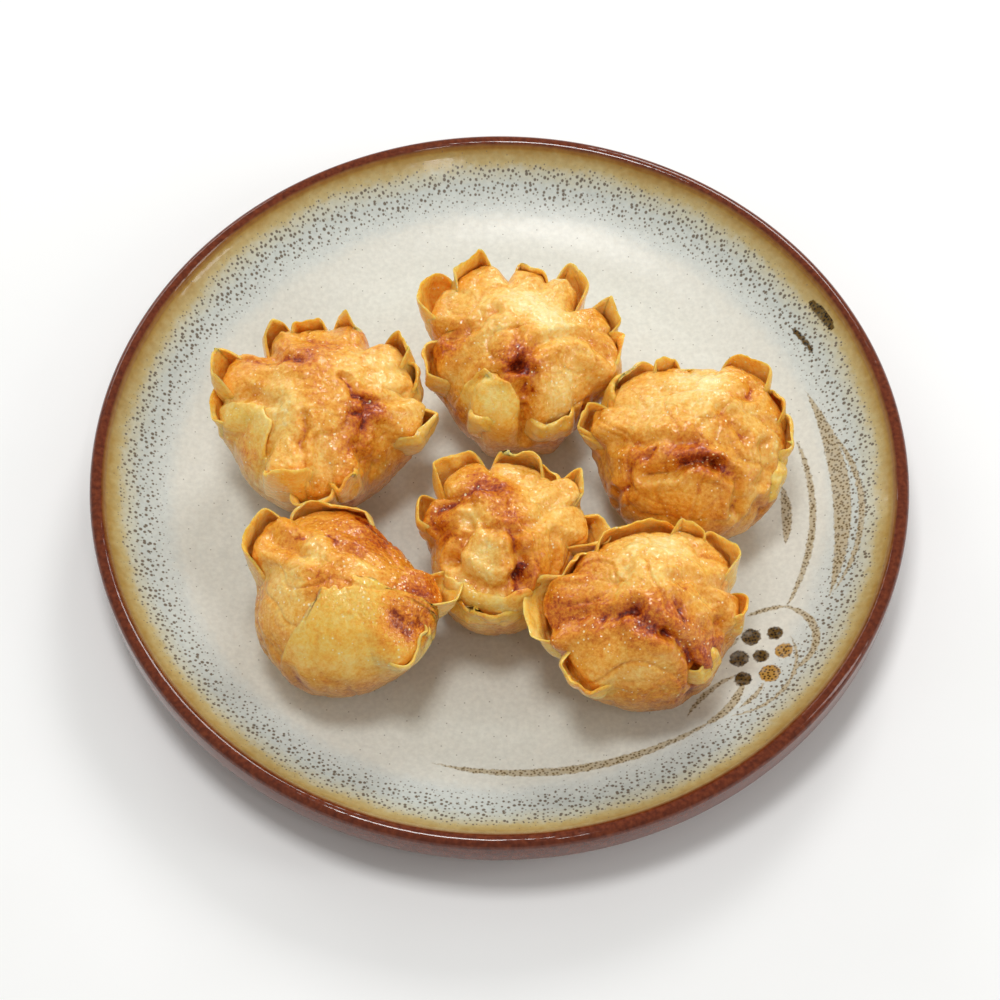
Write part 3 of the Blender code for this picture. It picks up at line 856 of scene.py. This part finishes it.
def relief(dumpling, places):
    """How far the fried dough stands off the even ball, in mm, and how brown it is."""
    own = places + 97.0 * dumpling.radius
    warped = places + 0.8 * np.stack(
        [soft_noise(own + shift, 2.6) for shift in (0.0, 31.0, 67.0)], axis=-1
    )
    puffs = soft_noise(own, PUFFS_APART)
    valleys = soft_noise(own + 50.0, VALLEYS_APART)
    wrinkles = soft_noise(own + 9.0, WRINKLES_APART)
    height = 0.65 * puffs - 0.40 * np.exp(-((valleys / 0.07) ** 2))
    height = height - 0.22 * np.exp(-((wrinkles / 0.06) ** 2))
    browning = PLAIN + 0.15 * soft_noise(own + 20.0, 8.0) + 0.07 * soft_noise(own + 70.0, 2.8)
    browning = browning + 0.08 * np.exp(-((valleys / 0.10) ** 2)) * (puffs > -0.2)
    broken = smooth_step(0.5 + 1.1 * soft_noise(own + 11.0, 1.4))
    # a crease is a groove between two low ridges, burnt in grains along its bottom
    for crease in dumpling.creases:
        corners = [
            ball_surface(dumpling, *(np.array(value, float) for value in point), 0.4)
            for point in crease.path
        ]
        away = distance_to_path(warped, corners) / crease.width
        height = height - crease.depth * np.exp(-(away**2))
        height = height + 0.5 * crease.depth * np.exp(-(((away - 2.1) / 1.2) ** 2))
        browning = browning + 1.15 * crease.browning * broken * np.exp(-((away / 0.55) ** 2))
        browning = browning + 0.24 * crease.browning * np.exp(-((away / 2.8) ** 2))
    for patch in dumpling.patches:
        middle = ball_surface(
            dumpling, np.array(float(patch.at)), np.array(float(patch.latitude)), 0.4
        )
        away = np.linalg.norm(warped - middle, axis=-1) / patch.reach
        browning = browning + patch.browning * np.exp(-(away**2))
    return height, np.minimum(browning, BURNT)


def fine_skin(own):
    """Blisters and grain that stand up on fried dough, in mm."""
    small = 0.16 * blisters(own, 1.9, 0.45) + 0.07 * blisters(own + 9.0, 1.2, 0.6)
    return small + 0.07 * soft_noise(own, 1.9) + 0.04 * soft_noise(own, 1.0)


def closed_mesh(name, bodies):
    """A mesh of bodies, each of rings of places in mm closed by a face at both ends, with
    the measures taken at those places."""
    places, faces, columns_of = [], [], {}
    for rings, measures in bodies:
        start = sum(len(part) for part in places)
        count, columns = rings.shape[:2]
        index = start + np.arange(count * columns).reshape(count, columns)
        beside = np.roll(index, -1, axis=1)
        quads = np.stack([index[:-1], beside[:-1], beside[1:], index[1:]], axis=-1)
        faces += quads.reshape(-1, 4).tolist()
        faces.append(index[0, ::-1].tolist())
        faces.append(index[-1].tolist())
        places.append(rings.reshape(-1, 3) * MM)
        for measure, values in measures.items():
            columns_of.setdefault(measure, []).append(values.astype(np.float32).ravel())
    mesh = bpy.data.meshes.new(name)
    mesh.from_pydata(np.concatenate(places).tolist(), [], faces)
    for measure, values in columns_of.items():
        stored = mesh.attributes.new(measure, "FLOAT", "POINT")
        stored.data.foreach_set("value", np.concatenate(values))
    mesh.shade_smooth()
    made = bpy.data.objects.new(name, mesh)
    bpy.context.scene.collection.objects.link(made)
    return made


def across(rings):
    """The outward normal at each place of a grid of rings."""
    along = np.roll(rings, -1, axis=1) - np.roll(rings, 1, axis=1)
    upward = np.gradient(rings, axis=0)
    normal = np.cross(along, upward)
    return normal / np.maximum(np.linalg.norm(normal, axis=-1, keepdims=True), 1e-9)


# ---- The stuffed balls ----
# The filling in its skin of dough, which puffs into cushions in hot oil. Small blisters cover it,
# it browns in spots and burns where folds stand up, and its lower flanks are painted darker as
# shade.

BALL_COLUMNS = 288           # places round the ball, and its rings below, denser where it shows
BALL_LATITUDES = np.concatenate(
    [np.linspace(-89.0, -24.0, 12), np.linspace(-20.0, 89.2, 104)]
)


def stuffed_ball(number, dumpling):
    """The skin over the filling, from its flattened bottom to the closed top."""
    columns = np.linspace(0.0, 360.0, BALL_COLUMNS, endpoint=False)
    angle, latitude = np.meshgrid(columns, BALL_LATITUDES)
    height, browning = relief(dumpling, ball_surface(dumpling, angle, latitude, 0.4))
    even = body_surface(dumpling, angle, latitude, 0.4)
    upper = smooth_step((latitude + 8.0) / 14.0)
    skin = even + across(even) * (upper * (height + fine_skin(even + 41.0 * number)))[..., None]
    # side is the lower flank, which the shader paints darker as painted shade and makes duller
    side = smooth_step((18.0 - latitude) / 40.0)
    measures = {"browning": browning, "side": side, "free": 0.0 * side}
    return closed_mesh(f"fried_ball_{number}", [(skin + middle_of(dumpling), measures)])


# Colours of the dough by how brown it is: where it fried on the ball; where it stands off as a
# sheet, its own glassy yellow lightened as painted light shining through; and on the lower flanks,
# darker as painted shade.
CRUST = (
    (0.0, "ffe6a6"), (0.20, "f8ca6c"), (0.38, "eca83c"), (0.52, "de8c20"),
    (0.66, "c86814"), (0.80, "a6400c"), (0.92, "802406"), (1.0, "5a1404"),
)
# the sheet's own glassy yellow, made lighter as painted light shining through the thin dough
GLASSY_SHEET_WITH_PAINTED_GLOW = (
    (0.0, "ffe08e"), (0.30, "ffc552"), (0.50, "f5a02c"), (0.68, "d07014"),
    (0.84, "963c0a"), (1.0, "641406"),
)
FLANK_COLOURS_IN_PAINTED_SHADE = (
    (0.0, "eec884"), (0.30, "dc9c3e"), (0.50, "c07a20"), (0.68, "9c5611"),
    (0.84, "84360c"), (1.0, "5c1808"),
)


def fried_dough(name, thickness_mm, gloss):
    """Wheat dough fried in oil: a pale crust that turns gold, orange and burnt, with a film of oil
    over it that glints on every small blister. Some blisters carry painted highlights, and the
    lower flanks carry painted shade."""
    material = bpy.data.materials.new(name)
    material.use_nodes = True
    tree = material.node_tree
    shader = tree.nodes["Principled BSDF"]
    place = add_node(tree, "ShaderNodeTexCoord").outputs["Object"]
    in_mm = add_node(
        tree, "ShaderNodeVectorMath", {"operation": "SCALE", "Scale": 1000.0}, {0: place}
    ).outputs[0]
    browning = add_node(
        tree, "ShaderNodeAttribute", {"attribute_name": "browning"}
    ).outputs["Fac"]
    side = add_node(tree, "ShaderNodeAttribute", {"attribute_name": "side"}).outputs["Fac"]
    free = add_node(tree, "ShaderNodeAttribute", {"attribute_name": "free"}).outputs["Fac"]

    # the crust browns in spots 0.6 to 3 mm across, and burns in grains 0.4 mm across
    spots = add_node(
        tree, "ShaderNodeTexNoise", {"Scale": 0.8, "Detail": 3.0, "Roughness": 0.65},
        {"Vector": in_mm},
    ).outputs[0]
    spotted = add_node(
        tree, "ShaderNodeMath", {"operation": "MULTIPLY_ADD", 1: 0.60, 2: -0.35}, {0: spots}
    ).outputs[0]
    fine = add_node(
        tree, "ShaderNodeTexNoise", {"Scale": 1.6, "Detail": 2.0, "Roughness": 0.6},
        {"Vector": in_mm},
    ).outputs[0]
    uneven = add_node(
        tree, "ShaderNodeMath", {"operation": "MULTIPLY_ADD", 1: 0.5, 2: 0.75}, {0: fine}
    ).outputs[0]
    depth = add_node(
        tree, "ShaderNodeMath", {"operation": "MULTIPLY_ADD"},
        {0: browning, 1: uneven, 2: spotted},
    ).outputs[0]
    ramps = []
    for stops in (CRUST, GLASSY_SHEET_WITH_PAINTED_GLOW, FLANK_COLOURS_IN_PAINTED_SHADE):
        ramps.append(add_node(tree, "ShaderNodeValToRGB", links={0: depth}))
        set_stops(ramps[-1], stops)
    crust, sheet, body = ramps
    # the lower flanks take the darker flank colours: painted shade
    turned = add_node(
        tree, "ShaderNodeMix", {"data_type": "RGBA"},
        {0: side, 6: crust.outputs[0], 7: body.outputs[0]},
    ).outputs[2]
    dough = add_node(
        tree, "ShaderNodeMix", {"data_type": "RGBA"}, {0: free, 6: turned, 7: sheet.outputs[0]}
    ).outputs[2]

    # pale blisters 0.4 mm across, one each 1.1 mm in places, painted near white as painted
    # highlights of the light they catch, fewer on the lower flanks
    blister = add_node(tree, "ShaderNodeTexVoronoi", {"Scale": 0.92}, {"Vector": in_mm})
    chosen = add_node(
        tree, "ShaderNodeSeparateColor", links={0: blister.outputs["Color"]}
    ).outputs[0]
    crowded = add_node(
        tree, "ShaderNodeTexNoise", {"Scale": 0.16, "Detail": 0.0}, {"Vector": in_mm}
    ).outputs[0]
    crowd = add_node(
        tree, "ShaderNodeMapRange",
        {"From Min": 0.32, "From Max": 0.62, "To Min": -0.14, "To Max": 0.03}, {"Value": crowded},
    ).outputs[0]
    hidden = add_node(
        tree, "ShaderNodeMath", {"operation": "MULTIPLY_ADD", 1: -0.2}, {0: side, 2: crowd}
    ).outputs[0]
    glint_reach = add_node(
        tree, "ShaderNodeMath", {"operation": "MULTIPLY_ADD", 1: 0.29}, {0: chosen, 2: hidden}
    ).outputs[0]
    within = add_node(
        tree, "ShaderNodeMath", {"operation": "SUBTRACT"},
        {0: glint_reach, 1: blister.outputs["Distance"]},
    ).outputs[0]
    painted_glint = add_node(
        tree, "ShaderNodeMath", {"operation": "MULTIPLY", 1: 10.0, "use_clamp": True}, {0: within}
    ).outputs[0]
    dough_with_painted_glints = add_node(
        tree, "ShaderNodeMix", {"data_type": "RGBA", 7: linear("ffe9bc")}, {0: painted_glint, 6: dough}
    ).outputs[2]
    tree.links.new(dough_with_painted_glints, shader.inputs["Base Color"])

    # grit under the film of oil, which is smoother: it has ripples 1.5 mm long
    grain = add_node(
        tree, "ShaderNodeBump", {"Strength": 0.5, "Distance": 0.0004}, {"Height": fine}
    ).outputs[0]
    tree.links.new(grain, shader.inputs["Normal"])
    ripples = add_node(
        tree, "ShaderNodeTexNoise", {"Scale": 0.85, "Detail": 1.0}, {"Vector": in_mm}
    ).outputs[0]
    film = add_node(
        tree, "ShaderNodeBump", {"Strength": 1.0, "Distance": 0.0003}, {"Height": ripples}
    ).outputs[0]
    tree.links.new(film, shader.inputs["Coat Normal"])
    dull = add_node(
        tree, "ShaderNodeMapRange", {"To Min": gloss, "To Max": gloss + 0.18}, {"Value": side}
    ).outputs[0]
    tree.links.new(dull, shader.inputs["Roughness"])
    shader.inputs["IOR"].default_value = 1.46
    shader.inputs["Specular IOR Level"].default_value = 0.25
    shader.inputs["Subsurface Weight"].default_value = 0.75
    shader.inputs["Subsurface Radius"].default_value = (1.0, 0.72, 0.38)
    shader.inputs["Subsurface Scale"].default_value = thickness_mm * MM
    shader.inputs["Coat Weight"].default_value = 0.65
    shader.inputs["Coat Roughness"].default_value = 0.12
    shader.inputs["Coat IOR"].default_value = 1.47
    return material


skin_of_ball = fried_dough("wheat_dough_fried_on_the_filling", 1.2, 0.40)
for number, dumpling in enumerate(DUMPLINGS, start=1):
    ball = stuffed_ball(number, dumpling)
    ball.data.materials.append(skin_of_ball)
    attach(ball, "root")
    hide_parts(f"stuffed_ball_{number}")

# ---- The frilled wrappers ----
# The loose outer part of each sheet of dough. It clings to the lower half of the ball, and its
# edge stands off in thin frills, which the oil has set glossy and half clear like horn.

CUP_COLUMNS = 240            # places round the sheet, and rings from its bottom to its edge
CUP_ROWS = 44
CLINGS_AT = 1.0              # the middle of the sheet above the ball, in mm
BOTTOM_AT = 1.65             # and under the ball, where its own flattened bottom is higher
SINKS_TO = -0.9              # where nothing stands off, the edge runs in under the ball's skin
FRILL_ROWS = 24              # places from a frill's foot to its edge
FRILL_FOOT = -14.0           # a frill leaves the body at about this latitude


def clinging_cup(number, dumpling):
    """The part of the sheet that lies on the body, pleated where the frills gather it."""
    angle = np.linspace(0.0, 360.0, CUP_COLUMNS, endpoint=False)[None, :]
    flap = np.zeros_like(angle)
    for fold in dumpling.flaps:
        offset = np.abs(degrees_between(angle, fold.at)) / fold.half
        flap = np.maximum(
            flap, smooth_step((1.0 - offset) / fold.side) * (fold.latitude - EDGE_LATITUDE)
        )
    edge = EDGE_LATITUDE + flap
    # the cut edge is ragged by a few degrees
    ring = ball_surface(dumpling, angle, edge, 1.0)
    edge = edge + 3.0 * soft_noise(ring + 13.0 * number, 2.6) + 1.6 * soft_noise(ring, 1.2)
    share = np.linspace(0.0, 1.0, CUP_ROWS)[:, None] ** 0.8
    latitude = -87.0 + (edge + 87.0) * share
    angle, latitude = np.broadcast_arrays(angle, latitude)
    free = np.clip((latitude - FREE_LATITUDE) / (edge - FREE_LATITUDE), 0.0, 1.0)
    lies_on = np.clip(flap / 10.0, 0.0, 1.0)
    settled = smooth_step((-30.0 - latitude) / 30.0)
    sinks = (1.0 - lies_on) * free**4
    grown = CLINGS_AT + (BOTTOM_AT - CLINGS_AT) * settled + (SINKS_TO - CLINGS_AT) * sinks
    # a rib runs down the sheet below every frill, with a groove beside it
    pleats = np.zeros_like(latitude)
    for frill in dumpling.frills:
        pleats = pleats + bell(degrees_between(angle, frill.at) / frill.half)
    rib = dumpling.pleat * (np.clip(pleats, 0.0, 1.0) - 0.5)
    rib = rib * smooth_step((latitude + 70.0) / 40.0) * (1.0 - free**3)
    height, browning = relief(dumpling, ball_surface(dumpling, angle, latitude, 0.4))
    even = body_surface(dumpling, angle, latitude, 0.0)
    own = even + 29.0 * number
    skin = 0.75 * height + fine_skin(own) + rib
    thin = 1.0 + 0.2 * soft_noise(own, 1.8)
    half = (0.5 * WRAPPER_THICKNESS * thin)[..., None]
    direction = across(even)
    sheet = even + direction * (grown + skin * (1.0 - settled))[..., None]
    # the sheet has an inner side, coarser as it hardly shows, a rounded edge and an outer side
    upward = sheet[-1] - sheet[-2]
    upward = upward / np.linalg.norm(upward, axis=-1, keepdims=True)
    turns = np.radians([144.0, 108.0, 72.0, 36.0])
    over = [sheet[-1] + half[-1] * (cos(t) * direction[-1] + sin(t) * upward) for t in turns]
    inner = (sheet - half * direction)[::4]
    rings = np.concatenate([inner, over, (sheet + half * direction)[::-1]])
    # side is the lower flank, which the shader paints darker as painted shade and makes duller
    side = smooth_step((18.0 - latitude) / 40.0)
    # flaps lying on the ball take the sheet colours, lightened as painted light shining through
    glassy = 0.8 * lies_on * smooth_step((latitude - 5.0) / 30.0)
    measures = {}
    for name, values in (("browning", browning - 0.15 * glassy), ("side", side), ("free", glassy)):
        turned_over = np.repeat(values[-1:], len(turns), axis=0)
        measures[name] = np.concatenate([values[::4], turned_over, values[::-1]])
    return rings + middle_of(dumpling), measures


def across_open(grid):
    """The outward normal at each place of a grid that doesn't close on itself."""
    normal = np.cross(np.gradient(grid, axis=1), np.gradient(grid, axis=0))
    return normal / np.maximum(np.linalg.norm(normal, axis=-1, keepdims=True), 1e-9)


draws = np.random.default_rng(5)


def standing_frill(dumpling, frill):
    """One frill, from its foot inside the body to its free edge: both sides of a bent sheet."""
    tilt, twist, lean, curl = draws.uniform(-1.0, 1.0, 4)
    wide = frill.half > COLLAR_FROM
    across_it = np.linspace(-1.0, 1.0, 150 if wide else 48)[None, :]
    up_it = np.linspace(0.0, 1.0, FRILL_ROWS)[:, None] ** 0.8
    reach, tall = frill_shape(frill, across_it)
    if wide:
        tilt, twist, lean, curl = 0.0, 0.0, 0.0, 0.3 * curl
    half = ALL_OF_IT * frill.half
    angle = frill.at + half * across_it * (1.0 - 0.12 * up_it**2) + 6.0 * lean * up_it**2
    edge = EDGE_LATITUDE + 2.0 * tall + 6.0 * tilt * across_it
    latitude = FRILL_FOOT + (edge - FRILL_FOOT) * up_it
    free = np.clip((latitude - FREE_LATITUDE) / (edge - FREE_LATITUDE), 0.0, 1.0)
    even = ball_surface(dumpling, angle, latitude, 0.0)
    own = even + 17.0 * frill.at

    # its foot starts under the body's skin, and its sides run back in under it
    around = np.radians(angle)
    outward = np.stack([np.cos(around), np.sin(around), 0.0 * around], axis=-1)
    out = frill.out * reach * (1.0 + 0.4 * twist * across_it + 0.35 * soft_noise(own, 6.0))
    up = frill.up * tall * (1.0 + 0.50 * soft_noise(own + 7.0, 3.8))
    up = up + tall * (0.7 * soft_noise(own + 3.0, 1.7) + 0.4 * soft_noise(own + 9.0, 0.9))
    rises = np.minimum(-1.4 + 2.4 * up_it / 0.5, 1.0) - 1.7 * (1.0 - reach)
    sheet = even + across_open(even) * rises[..., None]
    sheet = sheet + outward * (out * free**OUT_POWER)[..., None]
    sheet[..., 2] += up * free**UP_POWER

    # frying has bent it, more towards its edge, and blistered it
    bent = (1.5 * curl * across_it**2 + 1.5 * soft_noise(own, 5.0)) * up_it**2
    bent = bent + 0.65 * soft_noise(own, 2.4) * up_it
    bent = bent + 1.5 * fine_skin(own) * np.minimum(2.0 * up_it, 1.0)
    sheet = sheet + across_open(sheet) * (bent * reach)[..., None]

    # it thins towards its rounded edges
    rounded = np.sqrt(np.clip(1.0 - np.clip((up_it - 0.93) / 0.07, 0.0, 1.0) ** 2, 0.02, 1.0))
    rounded = rounded * np.clip((1.0 - np.abs(across_it)) / 0.05, 0.05, 1.0)
    thick = (1.25 - 0.35 * up_it) * (1.0 + 0.45 * soft_noise(own + 31.0, 1.4))
    half_thick = across_open(sheet) * (0.5 * WRAPPER_THICKNESS * thick * rounded)[..., None]
    rings = np.concatenate([sheet + half_thick, (sheet - half_thick)[:, ::-1]], axis=1)

    # the free part is glassy and even, in sheet colours lightened as painted light shining through,
    # and some tips are brown
    glassy = smooth_step((up_it - 0.25) / 0.5) * smooth_step(2.0 * reach)
    browned = 0.33 + 0.12 * soft_noise(own + 40.0, 5.0) + 0.07 * soft_noise(own, 2.0)
    tips = np.clip(soft_noise(own + 5.0, 6.0) - 0.35, 0.0, 1.0) * smooth_step((up_it - 0.7) / 0.3)
    browned = browned + 0.45 * tips
    # side is the frill's foot, which the shader paints darker as painted shade
    side = smooth_step((18.0 - latitude) / 40.0) * (1.0 - glassy)
    measures = {}
    for name, values in (("browning", browned), ("side", side), ("free", glassy)):
        measures[name] = np.concatenate([values, values[:, ::-1]], axis=1)
    return rings + middle_of(dumpling), measures


loose_sheet = fried_dough("wheat_dough_sheet_fried_glassy", 1.0, 0.34)
for number, dumpling in enumerate(DUMPLINGS, start=1):
    cup = closed_mesh(f"fried_wrapper_{number}", [clinging_cup(number, dumpling)])
    folds = [standing_frill(dumpling, frill) for frill in dumpling.frills]
    frills = closed_mesh(f"frills_of_wrapper_{number}", folds)
    for piece in (cup, frills):
        piece.data.materials.append(loose_sheet)
        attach(piece, "root")
        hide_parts(f"frilled_wrapper_{number}")

# ---- The table and the studio ----
# A pale lacquered table top under four softboxes overhead, behind, in front and at the right, and
# a low long one at the back on the left that draws a bright line along the lip. The camera looks
# down at the plate from the eater's side.


def table_top():
    """A sheet of matt white lacquered board under the plate."""
    material = bpy.data.materials.new("matt_white_lacquer")
    material.use_nodes = True
    tree = material.node_tree
    shader = tree.nodes["Principled BSDF"]
    place = add_node(tree, "ShaderNodeTexCoord").outputs["Object"]
    mottle = add_node(
        tree, "ShaderNodeTexNoise", {"Scale": 30.0, "Detail": 3.0}, {"Vector": place}
    ).outputs[0]
    white = add_node(
        tree, "ShaderNodeMix", {"data_type": "RGBA", 6: linear("f7f7f6"), 7: linear("fbfbfb")},
        {0: mottle},
    ).outputs[2]
    tree.links.new(white, shader.inputs["Base Color"])
    shader.inputs["Roughness"].default_value = 0.7
    bpy.ops.mesh.primitive_grid_add(x_subdivisions=8, y_subdivisions=8, size=6.0)
    made = bpy.context.object
    made.name = "table_top"
    made.data.materials.append(material)
    return made


def soft_light(name, place, aim, size, watts):
    """A softbox with a white front, size metres wide and high, turned to face aim."""
    data = bpy.data.lights.new(name, "AREA")
    data.shape = "RECTANGLE"
    data.size, data.size_y = size
    data.energy = watts
    made = bpy.data.objects.new(name, data)
    made.location = place
    made.rotation_euler = (Vector(aim) - Vector(place)).to_track_quat("-Z", "Y").to_euler()
    bpy.context.scene.collection.objects.link(made)
    return made


table_top()
plate_middle = (0.0, 0.0, FLOOR_HEIGHT * MM)
soft_light("overhead_softbox", (-0.08, 0.02, 0.95), plate_middle, (0.20, 0.20), 3.1)
soft_light("back_softbox", (0.28, 0.84, 0.72), plate_middle, (0.34, 0.34), 3.9)
soft_light("front_softbox", (0.15, -0.42, 0.85), plate_middle, (0.06, 0.06), 0.25)
soft_light("left_softbox", (-0.54, 0.78, 0.44), plate_middle, (0.50, 0.12), 1.5)
soft_light("right_softbox", (0.90, -0.15, 0.50), plate_middle, (0.16, 0.60), 1.6)

world = bpy.data.worlds.new("white_studio_walls")
world.use_nodes = True
backdrop = world.node_tree.nodes["Background"]
backdrop.inputs["Color"].default_value = linear("fcfcf8")
backdrop.inputs["Strength"].default_value = 0.41
bpy.context.scene.world = world

CAMERA_ELEVATION = 60.787    # degrees above the table
CAMERA_DISTANCE = 0.650
LENS = 99.67
aim = Vector((0.00013, -0.00322, 0.010))
rise = radians(CAMERA_ELEVATION)
lens = bpy.data.cameras.new("camera")
lens.lens = LENS
lens.sensor_width = 36.0
camera = bpy.data.objects.new("camera", lens)
camera.location = aim + CAMERA_DISTANCE * Vector((0.0, -cos(rise), sin(rise)))
camera.rotation_euler = (radians(90.0) - rise, 0.0, 0.0)
bpy.context.scene.collection.objects.link(camera)
bpy.context.scene.camera = camera
bpy.context.scene.view_settings.view_transform = "Standard"
